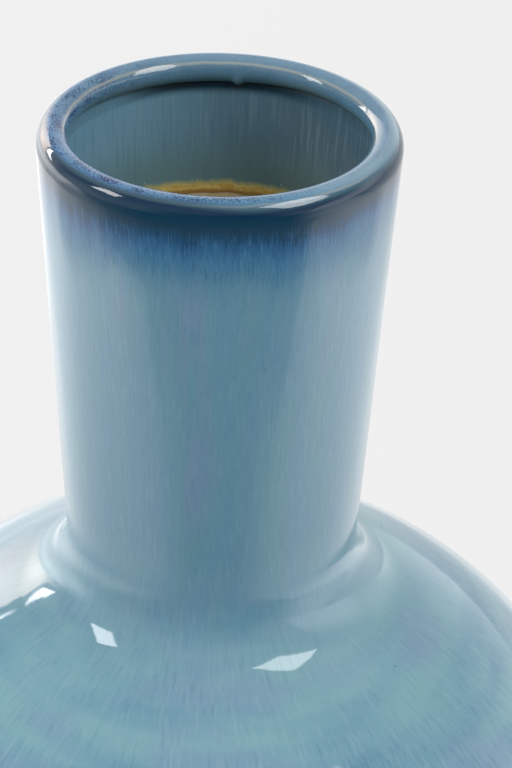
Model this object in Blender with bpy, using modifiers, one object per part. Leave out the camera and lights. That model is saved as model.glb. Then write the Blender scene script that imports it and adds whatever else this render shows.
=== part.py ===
"""Stoneware bottle vase: a ball-shaped body, a long tapering neck and a rolled lip.

The vase is built from six clay sections luted together with slip at stepped lap joints, and it is
coated with two fired-on skins: a blue glaze outside, which runs over the lip and a little way down
inside the neck, and a thin clear liner that seals the rest of the inside.

Metres, +Z up. The origin is the centre of the foot, on the surface that the vase stands on.
"""

import math

import bpy

# Driving dimensions of the glazed outside.
HEIGHT = 0.290
LIP_RADIUS = 0.036
BODY_RADIUS = 0.100
BODY_CENTRE_Z = 0.090
NECK_TAPER = 0.0574
FILLET_RADIUS = 0.018
FOOT_RADIUS = 0.049
FOOT_HEIGHT = 0.006

# Lip roll: its crest stands this far in from the outside, and it overhangs the neck's bore.
LIP_CREST_IN = 0.0031
LIP_CREST_DROP = 0.004
LIP_THICKNESS = 0.00625
LIP_INNER_TOP = 0.0023
LIP_INNER_BOTTOM = 0.0034

# Wall build-up.
BODY_WALL = 0.0054
NECK_WALL = 0.0042
GLAZE = 0.0005
GAP = 0.0003
CLAY_START = GLAZE + GAP

# Where the sections meet and the skins end.
LIP_JOINT_Z = 0.277
LAP = 0.004
COLLAR_ABOVE_FILLET = 0.005
GLAZE_STOP_Z = 0.260
GLAZE_FOOT_Z = 0.0078
FLOOR_THICKNESS = 0.006
FLOOR_RADIUS = 0.049
FLOOR_LEDGE = 0.0028
RIDGE_RADIUS = 0.0443
RIDGE_HALF_WIDTH = 0.0008
RIDGE_HEIGHT = 0.0016
FOOT_WIDTH = 0.008
FOOT_EDGE = 0.0009

# Resolution.
SEGMENTS = 36
CHORD_ERROR = 0.00015

STONEWARE = (0.62, 0.49, 0.35)
BLUE_GLAZE = (0.12, 0.30, 0.40)
CLEAR_LINER = (0.58, 0.44, 0.28)


def clear_scene():
    """Removes the objects that the scene starts with."""
    for obj in list(bpy.data.objects):
        bpy.data.objects.remove(obj, do_unlink=True)


def material(name, colour, roughness):
    """A Principled material of one colour."""
    made = bpy.data.materials.new(name)
    made.use_nodes = True
    shader = made.node_tree.nodes["Principled BSDF"]
    shader.inputs["Base Color"].default_value = (*colour, 1.0)
    shader.inputs["Roughness"].default_value = roughness
    shader.inputs["Metallic"].default_value = 0.0
    return made


def arc(centre, radius, start, end):
    """Points of an arc in the (radius, height) plane, its ends included, CHORD_ERROR off at most."""
    step = 2 * math.acos(1 - CHORD_ERROR / radius)
    steps = max(2, math.ceil(abs(end - start) / step))
    angles = [start + (end - start) * i / steps for i in range(steps + 1)]
    return [(centre[0] + radius * math.cos(a), centre[1] + radius * math.sin(a)) for a in angles]


def quarter(corner, across, up, start, end, steps=3):
    """Points of a stretch of an ellipse with those half-axes. Angles are in quarter turns from +radius."""
    angles = [math.pi / 2 * (start + (end - start) * i / steps) for i in range(steps + 1)]
    return [(corner[0] + across * math.cos(a), corner[1] + up * math.sin(a)) for a in angles]


def neck_point(depth, z):
    """The point at height z on the neck's outside, moved in by depth."""
    return (LIP_RADIUS - NECK_TAPER * (HEIGHT - LIP_CREST_DROP - z) - depth, z)


def body_point(depth, angle):
    """The point of the ball at that angle above its equator, moved in by depth."""
    radius = BODY_RADIUS - depth
    return (radius * math.cos(angle), BODY_CENTRE_Z + radius * math.sin(angle))


def body_angle(depth, z):
    """The angle below or above the equator at which the ball, moved in by depth, is at height z."""
    return math.asin((z - BODY_CENTRE_Z) / (BODY_RADIUS - depth))


def fillet(body_depth, neck_depth):
    """Centre, radius and two end angles of the arc that blends the ball into the neck."""
    slope = math.atan(NECK_TAPER)
    outward = (math.cos(slope), -math.sin(slope))
    upward = (math.sin(slope), math.cos(slope))
    radius = FILLET_RADIUS + neck_depth
    reach = BODY_RADIUS - body_depth + radius
    on_neck = neck_point(neck_depth, BODY_CENTRE_Z)
    foot = (on_neck[0] + radius * outward[0], radius * outward[1])
    along = foot[0] * upward[0] + foot[1] * upward[1]
    rise = -along + math.sqrt(along**2 - foot[0] ** 2 - foot[1] ** 2 + reach**2)
    centre = (foot[0] + rise * upward[0], BODY_CENTRE_Z + foot[1] + rise * upward[1])
    body_end = math.atan2(centre[1] - BODY_CENTRE_Z, centre[0])
    return centre, radius, math.pi + body_end, math.pi - slope


def wall_path(body_depth, neck_depth, start_angle, top_z):
    """Upward path along the wall at those depths, from an angle on the ball to a height on the neck."""
    centre, radius, body_end, neck_end = fillet(body_depth, neck_depth)
    ball = arc((0, BODY_CENTRE_Z), BODY_RADIUS - body_depth, start_angle, body_end - math.pi)
    bend = arc(centre, radius, body_end, neck_end)
    return ball + bend[1:] + [neck_point(neck_depth, top_z)]


def lip_path(depth):
    """Upward and outward over the lip, from the bore under the roll to the outside, at that depth."""
    crest = LIP_RADIUS - LIP_CREST_IN
    roll_in = LIP_THICKNESS - LIP_CREST_IN - depth
    roll_z = HEIGHT - LIP_INNER_TOP
    bore = neck_point(NECK_WALL - depth, roll_z - LIP_INNER_BOTTOM)[0]
    meets_bore = -math.acos((bore - crest) / roll_in) / (math.pi / 2)
    under = quarter((crest, roll_z), roll_in, LIP_INNER_BOTTOM - depth, meets_bore, -2)
    inner = quarter((crest, roll_z), roll_in, LIP_INNER_TOP - depth, 2, 1)
    outer_z = HEIGHT - LIP_CREST_DROP
    outer = quarter((crest, outer_z), LIP_CREST_IN - depth, LIP_CREST_DROP - depth, 1, 0)
    return under + inner[1:] + outer[1:]


def shoulder_joint_z():
    """Height of the lap joint between the shoulder's collar and the neck."""
    centre, _, _, _ = fillet(CLAY_START, CLAY_START)
    return centre[1] + COLLAR_ABOVE_FILLET


def turned(name, points, closed, finish, collection):
    """An object turned about Z from a profile, either a closed outline or an open path."""
    edges = [(i, i + 1) for i in range(len(points) - 1)]
    if closed:
        edges.append((len(points) - 1, 0))
    mesh = bpy.data.meshes.new(name)
    mesh.from_pydata([(r, 0.0, z) for r, z in points], edges, [])
    mesh.materials.append(finish)
    obj = bpy.data.objects.new(name, mesh)
    collection.objects.link(obj)
    screw = obj.modifiers.new("turn", "SCREW")
    screw.axis = "Z"
    screw.angle = 2 * math.pi
    screw.steps = SEGMENTS
    screw.render_steps = SEGMENTS
    screw.use_merge_vertices = True
    screw.merge_threshold = 0.00001
    screw.use_smooth_shade = True
    return obj


def coat(name, points, finish, collection):
    """A skin GLAZE thick behind an open turned path."""
    obj = turned(name, points, False, finish, collection)
    solidify = obj.modifiers.new("coat", "SOLIDIFY")
    solidify.thickness = GLAZE
    solidify.offset = -1
    solidify.use_even_offset = True
    return obj


def lip_ring(finish, collection):
    """The rolled lip, whose outer skirt laps down over the neck's tongue."""
    middle = NECK_WALL / 2
    inside = NECK_WALL - CLAY_START
    step_z = LIP_JOINT_Z + LAP
    outline = lip_path(CLAY_START)
    outline += [
        neck_point(CLAY_START, LIP_JOINT_Z),
        neck_point(middle - GAP / 2, LIP_JOINT_Z),
        neck_point(middle - GAP / 2, step_z),
        neck_point(inside, step_z),
    ]
    return turned("lip_ring", outline, True, finish, collection)


def neck(finish, collection):
    """The tapering tube, with a tongue at its top for the lip and a spigot at its foot."""
    middle = NECK_WALL / 2
    inside = NECK_WALL - CLAY_START
    top, foot = LIP_JOINT_Z - GAP, shoulder_joint_z()
    outline = [
        neck_point(inside, top + LAP),
        neck_point(middle + GAP / 2, top + LAP),
        neck_point(middle + GAP / 2, top),
        neck_point(CLAY_START, top),
        neck_point(CLAY_START, foot),
        neck_point(middle + GAP / 2, foot),
        neck_point(middle + GAP / 2, foot - LAP),
        neck_point(inside, foot - LAP),
    ]
    return turned("neck", outline, True, finish, collection)


def shoulder(finish, collection):
    """The upper half of the ball and the collar that the neck's spigot stands in."""
    neck_middle = NECK_WALL / 2
    body_middle = BODY_WALL / 2
    body_inside, neck_inside = BODY_WALL - CLAY_START, NECK_WALL - CLAY_START
    top = shoulder_joint_z() - GAP
    lap_angle = LAP / BODY_RADIUS
    outside = wall_path(CLAY_START, CLAY_START, 0, top)[::-1]
    inside = wall_path(body_inside, neck_inside, -lap_angle, top - LAP)
    outline = outside + [
        body_point(body_middle + GAP / 2, 0),
        body_point(body_middle + GAP / 2, -lap_angle),
        *inside,
        neck_point(neck_middle - GAP / 2, top - LAP),
        neck_point(neck_middle - GAP / 2, top),
    ]
    return turned("shoulder", outline, True, finish, collection)


def bowl(finish, collection):
    """The lower half of the ball, open at the bottom with a ledge for the floor."""
    base_z = FOOT_HEIGHT + GAP
    floor_z = base_z + FLOOR_THICKNESS
    ledge_z = base_z + FLOOR_THICKNESS / 2 - GAP
    inside_depth = BODY_WALL - CLAY_START
    middle = BODY_WALL / 2
    gap_angle, lap_angle = GAP / BODY_RADIUS, LAP / BODY_RADIUS
    ball = (0, BODY_CENTRE_Z)
    outside = arc(ball, BODY_RADIUS - CLAY_START, -gap_angle, body_angle(CLAY_START, base_z))
    floor_angle = body_angle(inside_depth, floor_z)
    inside = arc(ball, BODY_RADIUS - inside_depth, floor_angle, -gap_angle - lap_angle)
    outline = outside + [
        (FLOOR_RADIUS - FLOOR_LEDGE, base_z),
        (FLOOR_RADIUS - FLOOR_LEDGE, ledge_z),
        (FLOOR_RADIUS + GAP, ledge_z),
        (FLOOR_RADIUS + GAP, floor_z),
        *inside,
        body_point(middle - GAP / 2, -gap_angle - lap_angle),
        body_point(middle - GAP / 2, -gap_angle),
    ]
    return turned("bowl", outline, True, finish, collection)


def floor_disc(finish, collection):
    """The disc that closes the bowl, with a groove below for the foot ring's ridge."""
    base_z = FOOT_HEIGHT + GAP
    top_z = base_z + FLOOR_THICKNESS
    step_z = base_z + FLOOR_THICKNESS / 2
    groove_half = RIDGE_HALF_WIDTH + GAP
    groove_z = base_z + RIDGE_HEIGHT
    lower_radius = FLOOR_RADIUS - FLOOR_LEDGE - GAP
    outline = [
        (0, top_z),
        (FLOOR_RADIUS, top_z),
        (FLOOR_RADIUS, step_z),
        (lower_radius, step_z),
        (lower_radius, base_z),
        (RIDGE_RADIUS + groove_half, base_z),
        (RIDGE_RADIUS + groove_half, groove_z),
        (RIDGE_RADIUS - groove_half, groove_z),
        (RIDGE_RADIUS - groove_half, base_z),
        (0, base_z),
    ]
    return turned("floor_disc", outline, False, finish, collection)


def foot_ring(finish, collection):
    """The turned foot that the vase stands on, with a ridge that locates it under the floor."""
    inner = FOOT_RADIUS - FOOT_WIDTH
    outline = [
        (RIDGE_RADIUS + RIDGE_HALF_WIDTH, FOOT_HEIGHT + RIDGE_HEIGHT - GAP),
        (RIDGE_RADIUS + RIDGE_HALF_WIDTH, FOOT_HEIGHT),
        (FOOT_RADIUS, FOOT_HEIGHT),
        (FOOT_RADIUS - FOOT_EDGE / 2, FOOT_EDGE),
        (FOOT_RADIUS - 3 * FOOT_EDGE / 2, 0),
        (inner + 3 * FOOT_EDGE / 2, 0),
        (inner + FOOT_EDGE / 2, FOOT_EDGE),
        (inner, FOOT_HEIGHT),
        (RIDGE_RADIUS - RIDGE_HALF_WIDTH, FOOT_HEIGHT),
        (RIDGE_RADIUS - RIDGE_HALF_WIDTH, FOOT_HEIGHT + RIDGE_HEIGHT - GAP),
    ]
    return turned("foot_ring", outline, True, finish, collection)


def outer_glaze(finish, collection):
    """The blue glaze, from a little way down inside the neck, over the lip and down to the foot."""
    outside = wall_path(0, 0, body_angle(0, GLAZE_FOOT_Z), LIP_JOINT_Z)[::-1]
    path = [neck_point(NECK_WALL, GLAZE_STOP_Z)]
    path += [neck_point(NECK_WALL, LIP_JOINT_Z)]
    path += lip_path(0) + outside
    return coat("outer_glaze", path, finish, collection)


def liner_glaze(finish, collection):
    """The clear liner, over the floor and up the inside to where the blue glaze stops."""
    floor_z = FOOT_HEIGHT + 2 * GAP + FLOOR_THICKNESS + GLAZE
    start = body_angle(BODY_WALL, floor_z)
    wall = wall_path(BODY_WALL, NECK_WALL, start, GLAZE_STOP_Z - GAP)
    path = [(0, floor_z), (FLOOR_RADIUS / 2, floor_z)] + wall
    return coat("liner_glaze", path, finish, collection)


def main():
    clear_scene()
    vase = bpy.data.collections.new("vase")
    bpy.context.scene.collection.children.link(vase)
    for section in (lip_ring, neck, shoulder, bowl, floor_disc, foot_ring):
        section(material(section.__name__ + "_stoneware", STONEWARE, 0.85), vase)
    outer_glaze(material("blue_glaze", BLUE_GLAZE, 0.12), vase)
    liner_glaze(material("clear_liner", CLEAR_LINER, 0.3), vase)


main()
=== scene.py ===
"""The looks of the stoneware bottle vase: its two glazes, its bare clay, the studio and the camera.

Metres, +Z up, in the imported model's frame: the vase stands on z = 0 and is turned about Z.
Every piece is turned from a profile of (radius, height) points. A profile runs up the inside,
over the top and down the outside, so that its faces point out.
"""

import math

import bpy
import bmesh
import numpy as np
from mathutils import Matrix, Vector


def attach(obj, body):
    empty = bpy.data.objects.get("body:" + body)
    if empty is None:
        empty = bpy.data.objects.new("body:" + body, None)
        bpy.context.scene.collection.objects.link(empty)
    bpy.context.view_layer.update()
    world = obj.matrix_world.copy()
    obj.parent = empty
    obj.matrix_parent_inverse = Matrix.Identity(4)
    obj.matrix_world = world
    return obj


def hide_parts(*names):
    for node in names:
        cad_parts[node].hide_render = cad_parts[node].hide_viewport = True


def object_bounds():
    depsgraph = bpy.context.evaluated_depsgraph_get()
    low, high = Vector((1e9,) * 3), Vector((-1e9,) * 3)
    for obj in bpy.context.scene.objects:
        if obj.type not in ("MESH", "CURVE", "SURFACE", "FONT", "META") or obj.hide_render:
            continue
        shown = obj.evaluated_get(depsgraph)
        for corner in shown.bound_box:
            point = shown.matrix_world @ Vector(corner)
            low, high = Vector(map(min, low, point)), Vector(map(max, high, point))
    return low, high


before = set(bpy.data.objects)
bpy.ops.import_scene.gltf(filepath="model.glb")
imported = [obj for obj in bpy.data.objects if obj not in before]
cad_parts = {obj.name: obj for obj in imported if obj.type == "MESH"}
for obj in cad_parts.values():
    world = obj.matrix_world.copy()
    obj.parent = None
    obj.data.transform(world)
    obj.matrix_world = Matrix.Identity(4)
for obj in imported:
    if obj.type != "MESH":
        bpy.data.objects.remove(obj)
cad_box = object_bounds()

# The glazed outside, as the frame has it.
HEIGHT = cad_box[1][2]
LIP_RADIUS = 0.036
BODY_RADIUS = 0.100
BODY_CENTRE_Z = 0.090
NECK_TAPER = 0.0574
FILLET_RADIUS = 0.018
LIP_CREST_IN = 0.0031
LIP_CREST_DROP = 0.004
LIP_THICKNESS = 0.00625
LIP_INNER_TOP = 0.0023
LIP_INNER_BOTTOM = 0.0034

# Wall build-up, and where the sections and the glazes end.
BODY_WALL = 0.0054
NECK_WALL = 0.0042
GLAZE = 0.0005
CLAY_START = 0.0008
GAP = 0.0003
LINER_STEP = 0.0002
GLAZE_STOP_Z = 0.260
STOP_EDGE = 0.00006
GLAZE_FOOT_Z = 0.0078
LIP_JOINT_Z = 0.277
LAP = 0.004
COLLAR_ABOVE_FILLET = 0.005
FLOOR_TOP_Z = 0.0131
FLOOR_THICKNESS = 0.006
FLOOR_RADIUS = 0.049
FLOOR_LEDGE = 0.0028
RIDGE_RADIUS = 0.0443
RIDGE_HALF_WIDTH = 0.0008
RIDGE_HEIGHT = 0.0016
FOOT_RADIUS = 0.049
FOOT_HEIGHT = 0.006
FOOT_WIDTH = 0.008
FOOT_ROUND = 0.0012
FOOT_LEAN = 0.0002
CLAY_BASE_Z = FOOT_HEIGHT + GAP

# The hand's unevenness: the wall, the blue glaze's wavy lower edge and how far it ran below its
# stop, the roll's underside and its drip, soft runs and rings clear of the crease, the floor's coil
# and the foot's trimming lines.
WALL_WOBBLE = 0.00009
SLOW_WAVES = 0.0005
QUICK_WAVES = 0.00018
HEM_DROP = 0.0004
WAVES_TOP_Z = 0.268
WAVES_FADE = 0.006
UNDER_ROLL_DROP = 0.0048
UNDER_ROLL_REACH = 0.0016
ROLL_SAG = 0.00035
ROLL_SWELL = 0.00012
DRIP_ANGLE = math.radians(83.5)
DRIP_BORE = 0.030
DRIP_HALF_WIDTH = 0.0009
DRIP_LENGTH = 0.0006
DRIP_SWELL = 0.0003
CREASE_Z = 0.190
CREASE_REACH = 0.016
RUN_DEPTH = 0.000009
RING_DEPTH = 0.000004
COIL_PITCH = 0.0021
COIL_DEPTH = 0.00022
TRIM_SCALE = 0.00014
TRIM_DEPTH = 0.00008

# Mesh resolution.
GLAZE_COLUMNS = 448
CLAY_COLUMNS = 256
FINE = 0.00028
MEDIUM = 0.0008
COARSE = 0.0016

# Radii at which the glaze's streaks have their stated width.
NECK_GIRTH = 0.034
NECK_FOOT_GIRTH = 0.038
SHOULDER_GIRTH = 0.060
BODY_GIRTH = 0.088


# ---------------- profiles


def arc(centre, across, up, start, end, spacing):
    """Points of an elliptical arc, with those half-axes, about one every spacing."""
    length = abs(end - start) * max(across, up)
    angles = np.linspace(start, end, max(3, math.ceil(length / spacing)) + 1)
    return np.column_stack((centre[0] + across * np.cos(angles), centre[1] + up * np.sin(angles)))


def line(start, end, spacing):
    """Points of a straight line, about one every spacing."""
    length = math.dist(start, end)
    shares = np.linspace(0, 1, max(1, math.ceil(length / spacing)) + 1)[:, None]
    return np.array(start) * (1 - shares) + np.array(end) * shares


def chain(*stretches):
    """One profile from stretches that each start where the last one ends."""
    joined = [stretches[0]]
    for stretch in stretches[1:]:
        same = math.dist(joined[-1][-1], stretch[0]) < 1e-7
        joined.append(stretch[1:] if same else stretch)
    return np.vstack(joined)


def outline(*stretches, spacing=MEDIUM):
    """A closed profile: straight lines join the stretches' points and lead back to the start."""
    points = [tuple(point) for stretch in stretches for point in stretch]
    sides = zip(points, points[1:] + points[:1])
    return np.vstack([line(start, end, spacing)[:-1] for start, end in sides])


def neck_point(depth, z):
    """The point at height z on the neck's outside, moved in by depth."""
    return (LIP_RADIUS - NECK_TAPER * (HEIGHT - LIP_CREST_DROP - z) - depth, z)


def body_point(depth, angle):
    """The ball's point at that angle above its equator, moved in by depth."""
    radius = BODY_RADIUS - depth
    return (radius * math.cos(angle), BODY_CENTRE_Z + radius * math.sin(angle))


def body_angle(depth, z):
    """The angle above the equator at which the ball, moved in by depth, is at height z."""
    return math.asin((z - BODY_CENTRE_Z) / (BODY_RADIUS - depth))


def crease(body_depth, neck_depth):
    """Centre and radius of the arc that blends the ball into the neck."""
    slope = math.atan(NECK_TAPER)
    radius = FILLET_RADIUS + neck_depth
    start = neck_point(neck_depth, BODY_CENTRE_Z)
    foot = (start[0] + radius * math.cos(slope), -radius * math.sin(slope))
    along = foot[0] * math.sin(slope) + foot[1] * math.cos(slope)
    reach = BODY_RADIUS - body_depth + radius
    rise = -along + math.sqrt(along**2 - foot[0] ** 2 - foot[1] ** 2 + reach**2)
    centre = (foot[0] + rise * math.sin(slope), BODY_CENTRE_Z + foot[1] + rise * math.cos(slope))
    return centre, radius


def wall(body_depth, neck_depth, start_angle, top_z, ball_spacing, neck_spacing):
    """Upward profile of the ball, the crease and the neck, at those depths under the outside."""
    centre, radius = crease(body_depth, neck_depth)
    ball_radius = BODY_RADIUS - body_depth
    meet = math.atan2(centre[1] - BODY_CENTRE_Z, centre[0])
    end = math.pi - math.atan(NECK_TAPER)
    ball = arc((0, BODY_CENTRE_Z), ball_radius, ball_radius, start_angle, meet, ball_spacing)
    bend = arc(centre, radius, radius, math.pi + meet, end, neck_spacing / 2)
    neck = line(bend[-1], neck_point(neck_depth, top_z), neck_spacing)
    return chain(ball, bend, neck)


def lip(depth, spacing):
    """The lip's profile: under the roll, up its inner side, over the crest and down outside."""
    crest = LIP_RADIUS - LIP_CREST_IN
    roll_in = LIP_THICKNESS - LIP_CREST_IN - depth
    roll_z = HEIGHT - LIP_INNER_TOP
    bore = neck_point(NECK_WALL - depth, roll_z - LIP_INNER_BOTTOM)[0]
    meets_bore = 2 * math.pi - math.acos((bore - crest) / roll_in)
    under_drop = LIP_INNER_BOTTOM - depth
    under = arc((crest, roll_z), roll_in, under_drop, meets_bore, math.pi, spacing)
    inner = arc((crest, roll_z), roll_in, LIP_INNER_TOP - depth, math.pi, math.pi / 2, spacing)
    outer_centre = (crest, HEIGHT - LIP_CREST_DROP)
    outer_drop = LIP_CREST_DROP - depth
    outer = arc(outer_centre, LIP_CREST_IN - depth, outer_drop, math.pi / 2, 0, spacing)
    return chain(under, inner, outer)


def run_along(profile):
    """Each point's distance along the profile from the crest, counted as positive outside."""
    steps = np.hypot(*np.diff(profile, axis=0).T)
    run = np.concatenate(([0], np.cumsum(steps)))
    return run - run[profile[:, 1].argmax()]


def inset(profile, depth):
    """The profile moved in under its exposed side by depth."""
    tangent = np.gradient(profile, axis=0)
    tangent /= np.hypot(*tangent.T)[:, None]
    return profile + depth * np.column_stack((tangent[:, 1], -tangent[:, 0]))


def shell(exposed, thickness, every):
    """A skin's closed profile, and each point's run: the exposed side and a plainer hidden side."""
    run = run_along(exposed)
    hidden = inset(exposed, thickness)[::-1][every:-every:every]
    hidden_run = run[::-1][every:-every:every]
    return np.vstack((exposed, hidden)), np.concatenate((run, hidden_run))


# ---------------- meshes


def waves(angle, height, seed, rounds=(1, 2, 3, 5), climb=40.0):
    """A gentle unevenness between about -1 and 1, that closes on itself round the vase."""
    dice = np.random.default_rng(seed)
    total = np.zeros(np.broadcast(angle, height).shape)
    for turns in rounds:
        phase, tilt = dice.uniform(0, 2 * math.pi, 2)
        rate = climb * dice.uniform(-1, 1)
        total += np.sin(turns * angle + phase) * np.cos(rate * height + tilt) / len(rounds) ** 0.5
    return total


def out_of_round(angle, height):
    """How far the hand-thrown wall stands out from a true circle, in metres."""
    return WALL_WOBBLE * waves(angle, height, 3, rounds=(2, 3, 4), climb=25.0)


def turned(name, profile, run, columns, shape=None):
    """An object turned from a closed profile. shape(radius, height, run, angle) may bend it."""
    rows = len(profile)
    angle = np.linspace(0, 2 * math.pi, columns, endpoint=False)[None, :]
    radius = np.repeat(profile[:, :1], columns, axis=1)
    height = np.repeat(profile[:, 1:], columns, axis=1)
    run = np.repeat(run[:, None], columns, axis=1)
    if shape:
        radius, height = shape(radius, height, run, angle)
    radius = radius + out_of_round(angle, height) * np.minimum(1, radius / 0.02)
    points = np.stack((radius * np.cos(angle), radius * np.sin(angle), height), axis=-1)
    row, column = np.arange(rows)[:, None], np.arange(columns)[None, :]
    next_row, next_column = (row + 1) % rows, (column + 1) % columns
    corners = (
        row * columns + column,
        next_row * columns + column,
        next_row * columns + next_column,
        row * columns + next_column,
    )
    faces = np.stack(np.broadcast_arrays(*corners), axis=-1)
    mesh = bpy.data.meshes.new(name)
    mesh.from_pydata(points.reshape(-1, 3), [], faces.reshape(-1, 4))
    flow = np.stack(np.broadcast_arrays(np.cos(angle), np.sin(angle), run), axis=-1)
    attribute = mesh.attributes.new("flow", "FLOAT_VECTOR", "POINT")
    attribute.data.foreach_set("vector", flow.astype(np.float32).ravel())
    if profile[:, 0].min() < 1e-6:
        close_axis(mesh)
    mesh.shade_smooth()
    obj = bpy.data.objects.new(name, mesh)
    bpy.context.scene.collection.objects.link(obj)
    return obj


def close_axis(mesh):
    """Draws the points that lie on the axis together, so that a disc has one middle point."""
    shell_mesh = bmesh.new()
    shell_mesh.from_mesh(mesh)
    on_axis = [vertex for vertex in shell_mesh.verts if vertex.co.xy.length < 1e-6]
    bmesh.ops.remove_doubles(shell_mesh, verts=on_axis, dist=1e-6)
    stray = [edge for edge in shell_mesh.edges if not edge.link_faces]
    bmesh.ops.delete(shell_mesh, geom=stray, context="EDGES")
    shell_mesh.to_mesh(mesh)
    shell_mesh.free()


def clay_turned(name, profile, shape=None):
    """A clay section turned from a closed profile."""
    return turned(name, profile, run_along(profile), CLAY_COLUMNS, shape)


# ---------------- pieces


def glaze_stop(angle):
    """How far the blue glaze's wavy lower edge inside the neck stands above its stop."""
    slow = waves(angle, 0.0, 11, rounds=(1, 2, 4))
    quick = waves(angle, 0.0, 12, rounds=(9, 14, 23, 31))
    return SLOW_WAVES * slow + QUICK_WAVES * quick - HEM_DROP


# Where the lip is a little flatter than its round, which widens the light there: the middle and
# half-width round the vase in degrees, the run from the crest and half-height in metres, the
# direction that the place faces above level in degrees, and its depth in metres.
FLATS = (
    (-59.0, 17.0, 0.00245, 0.00105, 42.0, 0.000140),
    (-131.0, 7.5, 0.00325, 0.00085, 31.0, 0.000060),
    (119.0, 14.0, -0.00305, 0.00080, 41.0, 0.000160),
    (53.0, 9.0, -0.00345, 0.00065, 32.0, 0.000115),
)


def flattened(radius, height, run, angle):
    """Presses the flats into the lip."""
    for middle, half_width, middle_run, half_height, facing, deep in FLATS:
        aside = (np.degrees(angle) - middle + 180) % 360 - 180
        press = deep * np.exp(-((aside / half_width) ** 4) - ((run - middle_run) / half_height) ** 2)
        radius = radius - press * math.cos(math.radians(facing)) * math.copysign(1, middle_run)
        height = height - press * math.sin(math.radians(facing))
    return radius, height


def handmade_glaze(radius, height, run, angle):
    """Bends the blue glaze's rings: its wavy inner edge, its uneven roll, a drip and soft runs."""
    inside = run < 0
    near_stop = np.clip((WAVES_TOP_Z - height) / WAVES_FADE, 0, 1) * inside
    height = height + glaze_stop(angle) * near_stop
    roll_z = HEIGHT - UNDER_ROLL_DROP
    under = np.exp(-(((height - roll_z) / UNDER_ROLL_REACH) ** 2)) * inside
    height = height - ROLL_SAG * under * (0.5 + waves(angle, 0.0, 21, rounds=(1, 2, 3, 7)))
    radius = radius - ROLL_SWELL * under * waves(angle, 0.0, 22, rounds=(2, 3, 5))
    across = (angle - DRIP_ANGLE) * DRIP_BORE
    drip = np.exp(-((across / DRIP_HALF_WIDTH) ** 2)) * under
    height = height - DRIP_LENGTH * drip
    radius = radius - DRIP_SWELL * drip
    clear_of_crease = 1 - np.exp(-(((height - CREASE_Z) / CREASE_REACH) ** 2))
    outside = np.clip((run - 0.003) / 0.004, 0, 1) * clear_of_crease
    runs = waves(angle, height * 0.3, 31, rounds=(13, 21, 34, 47), climb=60.0)
    rings = waves(angle, height, 32, rounds=(1, 2, 1, 2, 3), climb=700.0)
    radius = radius + outside * (RUN_DEPTH * runs + RING_DEPTH * rings)
    return flattened(radius, height, run, angle)


def outer_glaze():
    """The blue glaze: one skin up out of the neck, over the lip and down to the foot."""
    roll = lip(0, FINE)
    edge_top = neck_point(NECK_WALL, GLAZE_STOP_Z + STOP_EDGE)
    edge = line(neck_point(NECK_WALL, GLAZE_STOP_Z), edge_top, FINE * 2)
    bore = line(edge_top, roll[0], FINE * 2)
    start = body_angle(0, GLAZE_FOOT_Z)
    outside = wall(0, 0, start, HEIGHT - LIP_CREST_DROP, COARSE * 0.8, MEDIUM)[::-1]
    profile, run = shell(chain(edge, bore, roll, outside), GLAZE, 4)
    return turned("blue_outer_glaze", profile, run, GLAZE_COLUMNS, handmade_glaze)


def liner_glaze():
    """The clear liner: over the floor and up the inside, to just under the blue glaze's edge."""
    start = body_angle(BODY_WALL, FLOOR_TOP_Z)
    side = wall(BODY_WALL, NECK_WALL - LINER_STEP, start, GLAZE_STOP_Z + 0.0012, COARSE, MEDIUM)
    floor = line((0.0, FLOOR_TOP_Z), side[0], COARSE)
    profile, run = shell(chain(floor, side), GLAZE / 2, 3)
    return turned("clear_inner_liner", profile, run, CLAY_COLUMNS)


def lip_ring():
    """The rolled lip, with the skirt that laps over the neck's tongue."""
    middle, inside = NECK_WALL / 2 - GAP / 2, NECK_WALL - CLAY_START
    step_z = LIP_JOINT_Z + LAP
    skirt = [neck_point(CLAY_START, LIP_JOINT_Z), neck_point(middle, LIP_JOINT_Z)]
    step = [neck_point(middle, step_z), neck_point(inside, step_z)]
    return clay_turned("lip_ring_clay", outline(lip(CLAY_START, MEDIUM), skirt, step))


def collar_top_z():
    """Height of the joint between the shoulder's collar and the neck."""
    return crease(CLAY_START, CLAY_START)[0][1] + COLLAR_ABOVE_FILLET


def neck():
    """The tapering tube, with a tongue at its top and a spigot at its foot."""
    middle, inside = NECK_WALL / 2 + GAP / 2, NECK_WALL - CLAY_START
    top, foot = LIP_JOINT_Z - GAP, collar_top_z()
    start = [neck_point(inside, foot - LAP), neck_point(inside, top + LAP)]
    tongue = [neck_point(middle, top + LAP), neck_point(middle, top)]
    outside = [neck_point(CLAY_START, top), neck_point(CLAY_START, foot)]
    spigot = [neck_point(middle, foot), neck_point(middle, foot - LAP)]
    return clay_turned("neck_clay", outline(start, tongue, outside, spigot))


def shoulder():
    """The upper half of the ball and the collar that the neck's spigot stands in."""
    top = collar_top_z() - GAP
    lap_angle = LAP / BODY_RADIUS
    collar, rim = NECK_WALL / 2 - GAP / 2, BODY_WALL / 2 + GAP / 2
    inside_body, inside_neck = BODY_WALL - CLAY_START, NECK_WALL - CLAY_START
    inside = wall(inside_body, inside_neck, -lap_angle, top - LAP, COARSE, COARSE)
    step = [neck_point(collar, top - LAP), neck_point(collar, top)]
    outside = wall(CLAY_START, CLAY_START, 0, top, COARSE, COARSE)[::-1]
    skirt = [body_point(rim, 0), body_point(rim, -lap_angle)]
    return clay_turned("shoulder_clay", outline(inside, step, outside, skirt, spacing=COARSE))


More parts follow.
